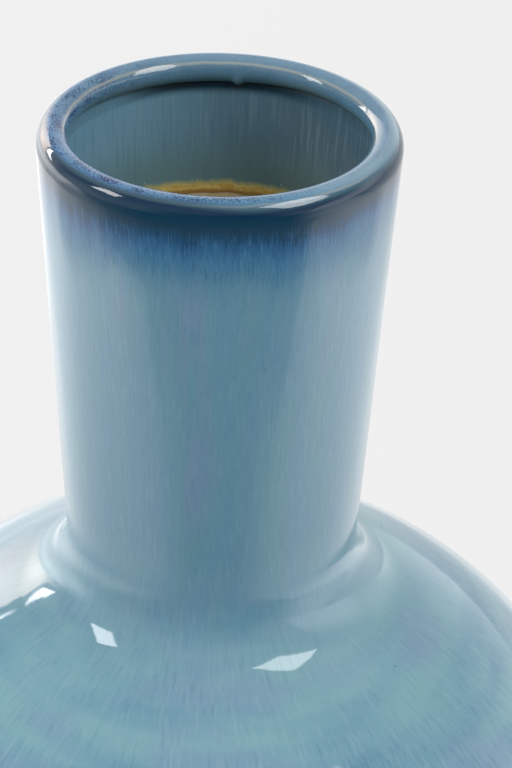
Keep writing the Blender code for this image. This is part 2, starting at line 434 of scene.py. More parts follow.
def bowl():
    """The lower half of the ball, open at the bottom with a ledge for the floor."""
    floor_z = CLAY_BASE_Z + FLOOR_THICKNESS
    ledge_z = CLAY_BASE_Z + FLOOR_THICKNESS / 2 - GAP
    inside_depth, middle = BODY_WALL - CLAY_START, BODY_WALL / 2 - GAP / 2
    gap_angle, lap_angle = GAP / BODY_RADIUS, LAP / BODY_RADIUS
    ball = (0, BODY_CENTRE_Z)
    inner, outer = BODY_RADIUS - inside_depth, BODY_RADIUS - CLAY_START
    low, high = body_angle(inside_depth, floor_z), -gap_angle - lap_angle
    seat = [(FLOOR_RADIUS + GAP, ledge_z), (FLOOR_RADIUS + GAP, floor_z)]
    inside = arc(ball, inner, inner, low, high, COARSE)
    tongue = [body_point(middle, high), body_point(middle, -gap_angle)]
    outside = arc(ball, outer, outer, -gap_angle, body_angle(CLAY_START, CLAY_BASE_Z), COARSE)
    ledge = FLOOR_RADIUS - FLOOR_LEDGE
    base = [(ledge, CLAY_BASE_Z), (ledge, ledge_z)]
    return clay_turned("bowl_clay", outline(seat, inside, tongue, outside, base, spacing=COARSE))


def wheel_marks(radius, height, run, angle):
    """Presses shallow turning rings, with a small middle coil, up into a disc's underside."""
    below = height < CLAY_BASE_Z + 0.0001
    coil = (radius / COIL_PITCH + angle / (2 * math.pi)) % 1.0
    groove = COIL_DEPTH * np.sin(math.pi * coil) ** 2 * np.clip(radius / 0.004, 0, 1)
    return radius, height + groove * below * (radius < FLOOR_RADIUS - 0.008)


def floor_disc():
    """The disc that closes the bowl, with a groove below for the foot ring's ridge."""
    top_z = CLAY_BASE_Z + FLOOR_THICKNESS
    step_z = CLAY_BASE_Z + FLOOR_THICKNESS / 2
    half, groove_z = RIDGE_HALF_WIDTH + GAP, CLAY_BASE_Z + RIDGE_HEIGHT
    lower_radius = FLOOR_RADIUS - FLOOR_LEDGE - GAP
    upper = [(0, top_z), (FLOOR_RADIUS, top_z), (FLOOR_RADIUS, step_z)]
    edge = [(lower_radius, step_z), (lower_radius, CLAY_BASE_Z)]
    outer = [(RIDGE_RADIUS + half, CLAY_BASE_Z), (RIDGE_RADIUS + half, groove_z)]
    inner = [(RIDGE_RADIUS - half, groove_z), (RIDGE_RADIUS - half, CLAY_BASE_Z)]
    profile = outline(upper, edge, outer, inner, [(0, CLAY_BASE_Z)], spacing=FINE * 1.5)
    return clay_turned("floor_disc_clay", profile, wheel_marks)


def trimmed_foot(radius, height, run, angle):
    """Leaves fine trimming lines on the sides of the foot."""
    side = np.clip(height / 0.002, 0, 1) * np.clip((FOOT_HEIGHT - height) / 0.001, 0, 1)
    return radius - TRIM_DEPTH * side * (1 + np.sin(height / TRIM_SCALE + 2 * angle)), height


def foot_ring():
    """The turned foot that the vase stands on, with a ridge that locates it under the floor."""
    inner = FOOT_RADIUS - FOOT_WIDTH
    quarter = math.pi / 2
    inner_centre = (inner + FOOT_LEAN + FOOT_ROUND, FOOT_ROUND)
    outer_centre = (FOOT_RADIUS - FOOT_LEAN - FOOT_ROUND, FOOT_ROUND)
    inner_edge = arc(inner_centre, FOOT_ROUND, FOOT_ROUND, 3 * quarter, 2 * quarter, FINE)
    outer_edge = arc(outer_centre, FOOT_ROUND, FOOT_ROUND, 0, -quarter, FINE)
    ridge_top = FOOT_HEIGHT + RIDGE_HEIGHT - GAP
    west, east = RIDGE_RADIUS - RIDGE_HALF_WIDTH, RIDGE_RADIUS + RIDGE_HALF_WIDTH
    top = [(inner, FOOT_HEIGHT), (west, FOOT_HEIGHT), (west, ridge_top)]
    top += [(east, ridge_top), (east, FOOT_HEIGHT), (FOOT_RADIUS, FOOT_HEIGHT)]
    profile = outline(inner_edge, top, outer_edge, spacing=FINE)
    return clay_turned("foot_ring_clay", profile, trimmed_foot)


# ---------------- materials


def srgb(red, green, blue):
    """A colour given on the usual 0 to 255 scale, as the linear values that shaders take."""
    linear = []
    for value in (red / 255, green / 255, blue / 255):
        linear.append(value / 12.92 if value <= 0.04045 else ((value + 0.055) / 1.055) ** 2.4)
    return (*linear, 1.0)


# Glaze on the neck and the shoulder.
TEAL = srgb(102, 146, 162)
BLUE = srgb(101, 143, 166)
LAVENDER = srgb(110, 142, 167)
PALE_STREAK = srgb(126, 164, 182)
DARK_STREAK = srgb(74, 122, 148)
SHOULDER_DEEP = srgb(108, 156, 180)
SHOULDER = srgb(123, 169, 188)
SHOULDER_GREEN = srgb(136, 182, 192)
SHOULDER_LAVENDER = srgb(138, 164, 194)
SHOULDER_PALE = srgb(158, 196, 206)
PINHOLE = srgb(30, 50, 70)

# How far each of three noises can move the bands below the lip, and millimetres in a metre.
BAND_SHIFT = 0.006
MILLIMETRES = 1000.0

# Down the outside from the lip's crest, in millimetres.
LIP_BANDS = (
    (0.0, srgb(126, 162, 186)),
    (0.9, srgb(104, 152, 184)),
    (1.5, srgb(88, 136, 166)),
    (2.1, srgb(76, 116, 142)),
    (2.7, srgb(66, 98, 114)),
    (3.1, srgb(36, 72, 94)),
    (3.6, srgb(4, 46, 78)),
    (5.0, srgb(22, 60, 82)),
    (7.2, srgb(36, 66, 86)),
    (9.2, srgb(38, 76, 108)),
    (11.4, srgb(54, 100, 140)),
    (14.0, srgb(70, 120, 154)),
    (20.0, srgb(88, 134, 158)),
)
# A painted sheen for the right side of the lip's top.
LIP_PAINTED_SHEEN = srgb(160, 188, 200)
HAIR_PALE = srgb(96, 148, 190)
HAIR_DARK = srgb(30, 72, 112)

# Likewise, down the inside from the crest to the wall under the roll.
BEAD_BANDS_WITH_PAINTED_SHADE = (
    (0.0, srgb(126, 160, 186)),
    (2.4, srgb(116, 150, 170)),
    (3.4, srgb(104, 138, 158)),
    (4.6, srgb(104, 152, 182)),
    (5.8, srgb(100, 144, 164)),
    (6.8, srgb(80, 114, 130)),
    # The dark stops from 7.6 to 9.2 mm are painted shade under the roll.
    (7.6, srgb(26, 46, 58)),
    (9.2, srgb(24, 48, 64)),
    (10.6, srgb(66, 100, 118)),
)
CREST_BEIGE = srgb(170, 178, 174)
# The inside wall's painted light and shade: lit teal on its left, shaded slate on its right.
INSIDE_PAINTED_LIT_TEAL = srgb(124, 174, 200)
INSIDE_PAINTED_SHADE_SLATE = srgb(88, 122, 141)
INSIDE_STREAK = srgb(134, 172, 188)
INSIDE_DARK = srgb(70, 104, 130)
INSIDE_LOW = srgb(110, 144, 144)
OCHRE_GREEN = srgb(200, 198, 138)
OCHRE = srgb(220, 186, 96)
OCHRE_PALE = srgb(240, 216, 134)
BROWN_LINE = srgb(180, 138, 76)
BUBBLE = srgb(226, 226, 206)

# How far down from the crest the ochre hem starts.
HEM_TOP = 0.0303

# The lip's specks, and the direction of the side where they are thickest.
SPECKLED_SIDE = (math.cos(math.radians(212)), math.sin(math.radians(212)))
SPECKLED_GROUND = srgb(104, 146, 194)
SPECK_PALE = srgb(150, 178, 214)
SPECK_BLUE = srgb(26, 68, 124)
SPECK_PURPLE = srgb(52, 58, 104)

# Clay, bare and under the clear liner.
CLAY_DARK = srgb(176, 146, 112)
CLAY_TAN = srgb(198, 170, 134)
CLAY_PALE = srgb(212, 188, 156)
LINER_DARK = srgb(220, 194, 148)
LINER_TAN = srgb(236, 216, 172)
LINER_PALE = srgb(244, 228, 192)
IRON_SPECK = srgb(92, 62, 42)


class Graph:
    """A node tree, with one short call for each kind of node."""

    def __init__(self, tree):
        self.tree = tree

    def feed(self, socket, value):
        """Links the value to the socket if it comes from a node, and otherwise stores it there."""
        if isinstance(value, bpy.types.NodeSocket):
            self.tree.links.new(value, socket)
        else:
            socket.default_value = value

    def node(self, kind, inputs, **settings):
        """A node with those settings and with its inputs, by name or number, fed."""
        made = self.tree.nodes.new(kind)
        for key, value in settings.items():
            setattr(made, key, value)
        for key, value in inputs.items():
            self.feed(made.inputs[key], value)
        return made

    def math(self, operation, first, second=0.0, third=0.0):
        inputs = {0: first, 1: second, 2: third}
        return self.node("ShaderNodeMath", inputs, operation=operation).outputs[0]

    def scaled(self, value, factor, offset):
        """The value times the factor, plus the offset."""
        return self.math("MULTIPLY_ADD", value, factor, offset)

    def most(self, first, second):
        """The larger of the two."""
        return self.math("MAXIMUM", first, second)

    def dot(self, vector, other):
        """How far the vector reaches along the other one."""
        made = self.node("ShaderNodeVectorMath", {0: vector, 1: other}, operation="DOT_PRODUCT")
        return made.outputs["Value"]

    def span(self, value, low, high, start=0.0, end=1.0):
        """The value's smooth rise from start, at low, to end, at high."""
        inputs = {0: value, 1: low, 2: high, 3: start, 4: end}
        made = self.node("ShaderNodeMapRange", inputs, interpolation_type="SMOOTHSTEP")
        return made.outputs[0]

    def fall(self, value, low, high):
        """The value's smooth fall from 1, at low, to 0, at high."""
        return self.span(value, low, high, 1.0, 0.0)

    def product(self, *shares):
        """The shares multiplied together."""
        total = shares[0]
        for share in shares[1:]:
            total = self.math("MULTIPLY", total, share)
        return total

    def mix(self, share, base, top):
        """The base colour with that share of the top colour over it."""
        inputs = {0: share, 6: base, 7: top}
        return self.node("ShaderNodeMix", inputs, data_type="RGBA").outputs[2]

    def over(self, base, top, noise, low, high, most):
        """The base colour with the top one over it: none where the noise is low, most where high."""
        return self.mix(self.span(noise, low, high, 0.0, most), base, top)

    def bands(self, value, stops):
        """Colours along the value, from (value, colour) pairs in rising order."""
        low, high = stops[0][0], stops[-1][0]
        share = self.scaled(value, 1 / (high - low), -low / (high - low))
        made = self.node("ShaderNodeValToRGB", {0: share})
        elements = made.color_ramp.elements
        while len(elements) < len(stops):
            elements.new(0.5)
        for element, (place, colour) in zip(elements, stops):
            element.position = (place - low) / (high - low)
            element.color = colour
        return made.outputs[0]

    def noise(self, vector, detail, roughness):
        """Perlin noise of unit size, between about 0 and 1 and mostly near 0.5."""
        inputs = {"Vector": vector, "Scale": 1.0, "Detail": detail, "Roughness": roughness}
        return self.node("ShaderNodeTexNoise", inputs).outputs[0]

    def flow(self):
        """Cosine and sine of the angle round the vase, and the run along its profile in metres."""
        made = self.node("ShaderNodeAttribute", {}, attribute_name="flow")
        parts = self.node("ShaderNodeSeparateXYZ", {0: made.outputs["Vector"]})
        return parts.outputs

    def wrapped(self, girth, width, length, seed):
        """Places on the skin, in units of width round a vase of that radius and of length down it."""
        cosine, sine, run = self.flow()
        inputs = {
            0: self.math("MULTIPLY", cosine, girth / width),
            1: self.math("MULTIPLY", sine, girth / width),
            2: self.scaled(run, 1 / length, seed),
        }
        return self.node("ShaderNodeCombineXYZ", inputs).outputs[0]

    def streaks(self, girth, width, length, seed, detail=2.0, roughness=0.5):
        """Noise drawn out downwards: streaks of that width, where the vase is that round."""
        return self.noise(self.wrapped(girth, width, length, seed), detail, roughness)

    def hairs(self, girth, width, length, seed):
        """Fine streaks with ragged ends."""
        return self.streaks(girth, width, length, seed, detail=3.0, roughness=0.65)

    def spreading(self, width, length, seed):
        """Fine streaks that keep their width from the neck out to the widest part."""
        run = self.flow()[2]
        near, middle, far = (
            self.hairs(girth, width, length, seed + girth)
            for girth in (NECK_FOOT_GIRTH, SHOULDER_GIRTH, BODY_GIRTH)
        )
        inner = self.span(run, 0.112, 0.135, near, middle)
        return self.span(run, 0.145, 0.175, inner, far)

    def dots(self, vector, size, share, seed):
        """Round dots of that radius, in the vector's units, in that share of its unit cells."""
        place = self.node("ShaderNodeVectorMath", {0: vector, 1: (seed, seed, seed)}, operation="ADD")
        cells = self.node("ShaderNodeTexVoronoi", {"Vector": place.outputs[0], "Scale": 1.0})
        chosen = self.node("ShaderNodeSeparateColor", {0: cells.outputs["Color"]}).outputs[0]
        picked = self.math("LESS_THAN", chosen, share)
        return self.product(self.fall(cells.outputs["Distance"], size * 0.6, size), picked)


def new_material(name):
    """A material, its graph and its shader."""
    made = bpy.data.materials.new(name)
    made.use_nodes = True
    return made, Graph(made.node_tree), made.node_tree.nodes["Principled BSDF"]


def neck_colour(graph):
    """Teal, blue and lavender in soft upright zones, under short fine pale and dark streaks."""
    zones = graph.streaks(NECK_GIRTH, 0.012, 0.090, 4.0, detail=3.0, roughness=0.55)
    colour = graph.bands(zones, ((0.36, TEAL), (0.46, BLUE), (0.54, TEAL), (0.63, LAVENDER)))
    fine = graph.hairs(NECK_GIRTH, 0.0006, 0.0055, 17.0)
    colour = graph.over(colour, PALE_STREAK, fine, 0.48, 0.74, 0.34)
    dark = graph.hairs(NECK_GIRTH, 0.0005, 0.0040, 23.0)
    return graph.over(colour, DARK_STREAK, dark, 0.50, 0.74, 0.34)


def shoulder_colour(graph):
    """Paler blue in soft rings, streaked outwards, with pale green and lavender patches."""
    rings = graph.streaks(SHOULDER_GIRTH, 0.060, 0.013, 31.0, detail=3.0)
    colour = graph.bands(rings, ((0.34, SHOULDER_DEEP), (0.47, SHOULDER), (0.62, SHOULDER_GREEN)))
    patch = graph.streaks(SHOULDER_GIRTH, 0.026, 0.013, 37.0, detail=3.0)
    colour = graph.over(colour, SHOULDER_LAVENDER, patch, 0.50, 0.68, 0.50)
    fine = graph.spreading(0.0008, 0.0060, 41.0)
    colour = graph.over(colour, SHOULDER_PALE, fine, 0.48, 0.72, 0.36)
    dark = graph.spreading(0.0007, 0.0055, 43.0)
    colour = graph.over(colour, DARK_STREAK, dark, 0.50, 0.72, 0.30)
    # Painted light: the right side by the crease is painted paler, as if lit there.
    cosine, _, run = graph.flow()
    painted_light_right = graph.product(graph.span(cosine, 0.2, 0.8, 0.0, 0.60), graph.fall(run, 0.100, 0.130))
    return graph.mix(painted_light_right, colour, SHOULDER_PALE)


def speckled_side(graph):
    """1 on the side where the specks are thickest, falling to -1 across from it."""
    cosine, sine, _ = graph.flow()
    along_x = graph.math("MULTIPLY", cosine, SPECKLED_SIDE[0])
    return graph.scaled(sine, SPECKLED_SIDE[1], along_x)


def lip_colour(graph, below):
    """From the crest down: pale lip, teal edge, navy pool and blue hair streaks over what is below."""
    cosine, _, run = graph.flow()
    hair = graph.hairs(NECK_GIRTH, 0.00036, 0.0036, 51.0)
    strand = graph.streaks(NECK_GIRTH, 0.0018, 0.016, 53.0)
    drift = graph.streaks(NECK_GIRTH, 0.014, 0.060, 57.0, detail=1.0)
    shift = graph.span(cosine, 0.3, 0.95, -0.0090, -0.0072)
    for noise in (hair, strand, drift):
        shift = graph.scaled(noise, BAND_SHIFT, shift)
    loose = graph.product(shift, graph.span(run, 0.004, 0.011))
    early = graph.span(speckled_side(graph), 0.3, 0.85, 0.0, 0.0012)
    early = graph.product(early, graph.span(run, 0.0, 0.001), graph.fall(run, 0.003, 0.005))
    depth = graph.math("ADD", graph.math("ADD", run, loose), early)
    depth = graph.math("MULTIPLY", depth, MILLIMETRES)
    colour = graph.bands(depth, LIP_BANDS)
    light = graph.hairs(NECK_GIRTH, 0.00032, 0.0036, 55.0)
    fading = graph.product(graph.span(run, 0.006, 0.010), graph.fall(run, 0.017, 0.026))
    pale_hair = graph.product(graph.span(light, 0.50, 0.70, 0.0, 0.36), fading)
    colour = graph.mix(pale_hair, colour, HAIR_PALE)
    dark_hair = graph.product(graph.span(hair, 0.50, 0.68, 0.0, 0.50), fading)
    colour = graph.mix(dark_hair, colour, HAIR_DARK)
    colour = graph.mix(graph.span(depth, 15.0, 26.0), colour, below)
    # Painted sheen: the right side of the lip's top is painted paler, as if lit there.
    painted_sheen_right_top = graph.product(graph.span(cosine, 0.2, 0.9, 0.0, 0.70), graph.fall(run, 0.0010, 0.0026))
    return graph.mix(painted_sheen_right_top, colour, LIP_PAINTED_SHEEN)


def crest_lines(graph, colour):
    """Thin beige lines where the glaze runs thin: inside the crest at the back, outside in front."""
    cosine, sine, run = graph.flow()
    uneven = graph.streaks(LIP_RADIUS, 0.006, 0.008, 59.0)
    inner = graph.math("ADD", run, graph.scaled(uneven, 0.0006, 0.0024))
    inner = graph.fall(graph.math("ABSOLUTE", inner), 0.0001, 0.0005)
    back = graph.span(sine, -0.5, -0.1, 0.0, 0.75)
    colour = graph.mix(graph.product(inner, back), colour, CREST_BEIGE)
    outer = graph.scaled(uneven, -0.0006, graph.math("ADD", run, -0.0016))
    outer = graph.fall(graph.math("ABSOLUTE", outer), 0.0001, 0.0004)
    front = graph.product(graph.fall(sine, -0.75, -0.3), graph.span(cosine, -0.2, 0.5, 0.08, 0.50))
    return graph.mix(graph.product(outer, front), colour, CREST_BEIGE)


def cobalt_specks(graph, colour):
    """Fine dark and pale cobalt specks on the lip, thickest on one side of it."""
    run = graph.flow()[2]
    side = speckled_side(graph)
    on_top = graph.product(graph.span(run, -0.0064, -0.0048), graph.fall(run, 0.0006, 0.0018))
    amount = graph.product(graph.span(side, -0.3, 0.85, 0.2, 1.0), on_top)
    fine = graph.hairs(LIP_RADIUS, 0.00045, 0.00040, 61.0)
    clumps = graph.streaks(LIP_RADIUS, 0.005, 0.0024, 67.0, detail=1.0)
    front = graph.span(side, 0.65, 0.90, 0.15, 0.55)
    ground = graph.mix(graph.product(amount, front), colour, SPECKLED_GROUND)
    grain = graph.streaks(LIP_RADIUS, 0.0004, 0.0004, 63.0, detail=2.0, roughness=0.6)
    pale = graph.product(graph.span(grain, 0.53, 0.66, 0.0, 0.45), amount)
    ground = graph.mix(pale, ground, SPECK_PALE)
    purple = graph.product(graph.span(clumps, 0.48, 0.60), front, 1.6)
    tint = graph.mix(purple, SPECK_BLUE, SPECK_PURPLE)
    level = graph.math("ADD", fine, graph.scaled(clumps, 0.40, -0.20))
    specks = graph.product(graph.span(level, 0.49, 0.58, 0.0, 0.92), amount)
    return graph.mix(specks, ground, tint)


def inside_colour(graph):
    """Inside the neck: the bead's blue, a painted navy shade under the roll, and a wall painted lit
    teal to shaded slate.
    """
    cosine, sine, run = graph.flow()
    fine = graph.streaks(NECK_GIRTH, 0.0008, 0.014, 71.0, detail=3.0, roughness=0.6)
    # Painted light and shade: the wall is lighter teal on the left and shaded slate on the right.
    wall_colour = graph.mix(graph.span(cosine, -0.9, 0.6), INSIDE_PAINTED_LIT_TEAL, INSIDE_PAINTED_SHADE_SLATE)
    wall_colour = graph.over(wall_colour, INSIDE_STREAK, fine, 0.46, 0.72, 0.38)
    dark = graph.streaks(NECK_GIRTH, 0.0006, 0.010, 73.0, detail=3.0, roughness=0.6)
    wall_colour = graph.over(wall_colour, INSIDE_DARK, dark, 0.48, 0.72, 0.28)
    deeper = graph.scaled(fine, 0.006, graph.scaled(run, -1.0, -0.003))
    wall_colour = graph.over(wall_colour, INSIDE_LOW, deeper, 0.018, 0.029, 0.7)
    depth = graph.math("MULTIPLY", run, -MILLIMETRES)
    below_roll = graph.span(depth, 9.4, 11.6)
    # The painted shade under the roll shows in full at the back; elsewhere the wall colour mostly
    # covers it.
    under_roll = graph.most(below_roll, graph.span(depth, 6.4, 7.6, 0.0, 0.75))
    under_roll = graph.product(under_roll, graph.fall(sine, 0.70, 0.97))
    wall_share = graph.most(below_roll, under_roll)
    return graph.mix(wall_share, graph.bands(depth, BEAD_BANDS_WITH_PAINTED_SHADE), wall_colour)


def ochre_hem(graph, colour):
    """The thin ochre hem, with tiny bubbles, where the glaze ran out inside the neck."""
    run = graph.flow()[2]
    ragged = graph.streaks(NECK_GIRTH, 0.0030, 0.010, 81.0, detail=3.0, roughness=0.6)
    edge = graph.scaled(ragged, 0.0018, graph.scaled(run, -1.0, -0.0009))
    mottle = graph.streaks(NECK_GIRTH, 0.0016, 0.0008, 83.0, detail=3.0)
    ochre = graph.mix(graph.span(mottle, 0.40, 0.62), OCHRE, OCHRE_PALE)
    ochre = graph.mix(graph.fall(edge, HEM_TOP, HEM_TOP + 0.0010), ochre, OCHRE_GREEN)
    lowest = graph.fall(run, -HEM_TOP - 0.0022, -HEM_TOP - 0.0014)
    hem = graph.mix(lowest, ochre, BROWN_LINE)
    colour = graph.mix(graph.span(edge, HEM_TOP - 0.0008, HEM_TOP + 0.0006), colour, hem)
    near = graph.span(edge, HEM_TOP - 0.0016, HEM_TOP - 0.0006, 0.0, 0.7)
    bubbles = graph.dots(graph.wrapped(NECK_GIRTH, 0.0011, 0.0011, 0.0), 0.22, 0.26, 5.0)
    return graph.mix(graph.product(bubbles, near), colour, BUBBLE)


def glaze_material():
    """The blue running glaze, glossy and slightly uneven."""
    material, graph, shader = new_material("blue_streaked_glaze")
    cosine, _, run = graph.flow()
    lower = graph.mix(graph.span(run, 0.080, 0.122), neck_colour(graph), shoulder_colour(graph))
    outside = lip_colour(graph, lower)
    pinholes = graph.dots(graph.wrapped(NECK_GIRTH, 0.009, 0.009, 3.0), 0.035, 0.30, 9.0)
    outside = graph.mix(graph.math("MULTIPLY", pinholes, 0.75), outside, PINHOLE)
    within = ochre_hem(graph, inside_colour(graph))
    colour = graph.mix(graph.span(run, -0.0004, 0.0004), within, outside)
    graph.feed(shader.inputs["Base Color"], crest_lines(graph, cobalt_specks(graph, colour)))
    ripple = graph.streaks(NECK_GIRTH, 0.004, 0.009, 91.0, detail=2.0)
    bump = graph.node("ShaderNodeBump", {"Strength": 0.25, "Distance": 0.00012, "Height": ripple})
    graph.feed(shader.inputs["Normal"], bump.outputs[0])
    in_crease = graph.product(graph.span(run, 0.084, 0.094), graph.fall(run, 0.1030, 0.1065))
    rougher = graph.product(in_crease, graph.span(cosine, -0.3, 0.3, 0.17, 0.03))
    roughness = graph.math("ADD", graph.span(ripple, 0.3, 0.7, 0.05, 0.085), rougher)
    graph.feed(shader.inputs["Roughness"], roughness)
    shader.inputs["IOR"].default_value = 1.5
    return material


def grit(graph, scale):
    """Fine clay grain from the object's own coordinates."""
    place = graph.node("ShaderNodeTexCoord", {}).outputs["Object"]
    return graph.node("ShaderNodeVectorMath", {0: place, 3: scale}, operation="SCALE").outputs[0]


def liner_material():
    """Tan clay under a thin clear glaze."""
    material, graph, shader = new_material("clear_liner_over_tan_clay")
    run = graph.flow()[2]
    cloud = graph.noise(grit(graph, 90.0), 3.0, 0.6)
    colour = graph.bands(cloud, ((0.35, LINER_DARK), (0.52, LINER_TAN), (0.68, LINER_PALE)))
    iron = graph.dots(grit(graph, 420.0), 0.22, 0.10, 2.0)
    colour = graph.mix(graph.math("MULTIPLY", iron, 0.7), colour, IRON_SPECK)
    graph.feed(shader.inputs["Base Color"], colour)
    graph.feed(shader.inputs["Roughness"], graph.span(cloud, 0.3, 0.7, 0.22, 0.34))
    return material


def stoneware_material():
    """Bare fired clay: tan, gritty and matt, with iron specks."""
    material, graph, shader = new_material("bare_tan_stoneware")
    cloud = graph.noise(grit(graph, 110.0), 4.0, 0.6)
    colour = graph.bands(cloud, ((0.34, CLAY_DARK), (0.50, CLAY_TAN), (0.66, CLAY_PALE)))
    iron = graph.dots(grit(graph, 380.0), 0.24, 0.14, 4.0)
    colour = graph.mix(graph.math("MULTIPLY", iron, 0.8), colour, IRON_SPECK)
    graph.feed(shader.inputs["Base Color"], colour)
    grain = graph.noise(grit(graph, 2600.0), 3.0, 0.7)
    bump = graph.node("ShaderNodeBump", {"Strength": 0.6, "Distance": 0.00015, "Height": grain})
    graph.feed(shader.inputs["Normal"], bump.outputs[0])
    graph.feed(shader.inputs["Roughness"], graph.span(grain, 0.3, 0.7, 0.78, 0.95))
    return material


# ---------------- studio and camera

# The camera's lens, where it stands and how it is turned.
CAMERA_LENS_MM = 120.0
CAMERA_DISTANCE = 0.4536
CAMERA_RISE = 0.2142
CAMERA_PITCH = math.radians(31.09)
CAMERA_YAW = math.radians(1.07)
CAMERA_ROLL = math.radians(1.73)

# Softboxes, by the directions of their corners from the vase: azimuth from the camera's side
# towards the right and elevation, in degrees. Brightness is a multiple of the backdrop's white.
SOFTBOXES = (
    ("left_softbox", ((-84, 20), (-69, 24), (-66, 38), (-81, 38)), 11.0),
    ("right_softbox", ((33, 53), (49, 41), (79, 38), (72, 57)), 8.0),
    ("back_left_strip", ((-139, 29), (-131, 9.5), (-120, 6.5), (-133, 23)), 13.0),
)
SOFTBOX_DISTANCE = 5.0
AIM = Vector((0, 0, 0.20))

# What the gloss sees: the room, its bright walls at either side, which fade upwards and to the
# back, and a warm window. A wall has its brightness and the normal of the plane through its front
# edge. A glow has its azimuth and elevation, its strength and how tight it is.
ROOM_FRONT = 0.04
ROOM_SIDES = 0.6
ROOM_BACK = 1.1
ROOM_CEILING = 0.4
WALL_LEFT = (0.95, (-0.363, 0.731, -0.578))
WALL_RIGHT = (2.0, (0.520, 0.603, -0.607))
WALL_TOP = (0.15, 0.55)
WALL_BACK = 0.25
WINDOW_TOP = 0.42
WINDOW_SIDE = (-0.5735, -0.7027, 0.4211)
WINDOW_GLOW = (
    ((-142, 26), 5.6, 20.0),
    ((-141, 4), 3.6, 40.0),
    ((-160, 3), 0.7, 60.0),
    ((150, 0), 0.7, 60.0),
)
WINDOW_TINT = (1.0, 0.88, 0.80, 1.0)

# What the eye and the matt surfaces see.
ROOM_FILL = 0.55
BACKDROP = 0.88

# The white table in the gloss: half its width, its height, its near edge, how far its lit part
# reaches on the left, each with its softness, and the side that it is lit from.
TABLE_HALF = 8.0
TABLE_Z = 0.0002
TABLE_NEAR_EDGE = -0.262
NEAR_SOFTNESS = 0.006
TABLE_REACH = 0.485
REACH_SOFTNESS = 0.015
TABLE_LIT_FROM = (-0.819, 0.574, 0.0)

# The floor that the eye sees: its width, its colour, and its own light on the left and the right.
FLOOR_SIZE = 8
FLOOR_GREY = (0.12, 0.12, 0.12, 1)
FLOOR_GLOW = (0.780, 0.758)

WHITE, BLACK = (1, 1, 1, 1), (0, 0, 0, 1)


def camera():
    """The camera, looking down on the mouth from the front."""
    level = math.cos(CAMERA_PITCH)
    sideways, ahead = math.sin(CAMERA_YAW) * level, math.cos(CAMERA_YAW) * level
    forward = Vector((sideways, ahead, -math.sin(CAMERA_PITCH)))
    right = forward.cross(Vector((0, 0, 1))).normalized()
    up = right.cross(forward)
    rolled_right = right * math.cos(CAMERA_ROLL) + up * math.sin(CAMERA_ROLL)
    rolled_up = up * math.cos(CAMERA_ROLL) - right * math.sin(CAMERA_ROLL)
    data = bpy.data.cameras.new("camera")
    data.lens = CAMERA_LENS_MM
    data.clip_start = 0.01
    obj = bpy.data.objects.new("camera", data)
    turn = Matrix((rolled_right, rolled_up, -forward)).transposed().to_4x4()
    turn.translation = Vector((0, -CAMERA_DISTANCE, HEIGHT + CAMERA_RISE))
    obj.matrix_world = turn
    bpy.context.scene.collection.objects.link(obj)
    bpy.context.scene.camera = obj


def towards(azimuth, elevation):
    """The direction from the vase to that azimuth and elevation, in degrees."""
    turn, rise = math.radians(azimuth), math.radians(elevation)
    level = math.cos(rise)
    return Vector((math.sin(turn) * level, -math.cos(turn) * level, math.sin(rise)))


def glow_material(name, strength, base=BLACK):
    """A matt surface that gives off light. The strength is a number or a function of its graph."""
    material, graph, shader = new_material(name)
    shader.inputs["Base Color"].default_value = base
    shader.inputs["Roughness"].default_value = 1.0
    shader.inputs["Specular IOR Level"].default_value = 0
    shader.inputs["Emission Color"].default_value = WHITE
    graph.feed(shader.inputs["Emission Strength"], strength(graph) if callable(strength) else strength)
    return material


def card(name, corners, material):
    """A flat sheet of the studio that the camera does not see."""
    mesh = bpy.data.meshes.new(name)
    mesh.from_pydata(corners, [], [range(len(corners))])
    mesh.materials.append(material)
    obj = bpy.data.objects.new(name, mesh)
    obj.visible_camera = False
    bpy.context.scene.collection.objects.link(obj)
    return obj


def softbox(name, corners, brightness):
    """A light with those corners, seen from the vase."""
    places = [AIM + towards(*corner) * SOFTBOX_DISTANCE for corner in corners]
    card(name, places, glow_material(name, brightness))


def table_in_front(graph, across, along, aside, reach):
    """Where the table's front is lit: from its near edge on, but not close before the vase."""
    forward = graph.scaled(across, -0.06, along)
    step = graph.span(forward, TABLE_NEAR_EDGE - NEAR_SOFTNESS, TABLE_NEAR_EDGE + NEAR_SOFTNESS)
    step = graph.product(step, graph.span(aside, 0.17, 0.24, 0.0, 0.28))
    soft = graph.product(graph.span(forward, -0.38, -0.10), graph.span(aside, 0.17, 0.24, 1.0, 0.72))
    near = graph.product(graph.math("ADD", step, soft), graph.span(aside, 0.05, 0.18))
    outward = graph.math("DIVIDE", graph.math("ADD", aside, along), reach)
    far = graph.product(graph.span(outward, -0.1, 0.7), graph.span(reach, 0.42, 0.60))
    return graph.most(graph.most(near, far), graph.span(along, -0.10, 0.0))


def table_behind(graph, across, along, aside):
    """How the table dims behind the vase, least on the left, and close behind it most."""
    back = graph.span(graph.scaled(across, 0.2, along), 0.1, 0.6, 1.0, 0.40)
    back = graph.most(back, graph.span(across, -0.2, 0.05, 0.74, 0.0))
    shade = graph.most(graph.span(aside, 0.05, 0.24, 0.6, 1.0), graph.span(along, 0.1, 0.5))
    shade = graph.most(shade, graph.fall(along, -0.05, 0.05))
    return graph.product(back, shade)


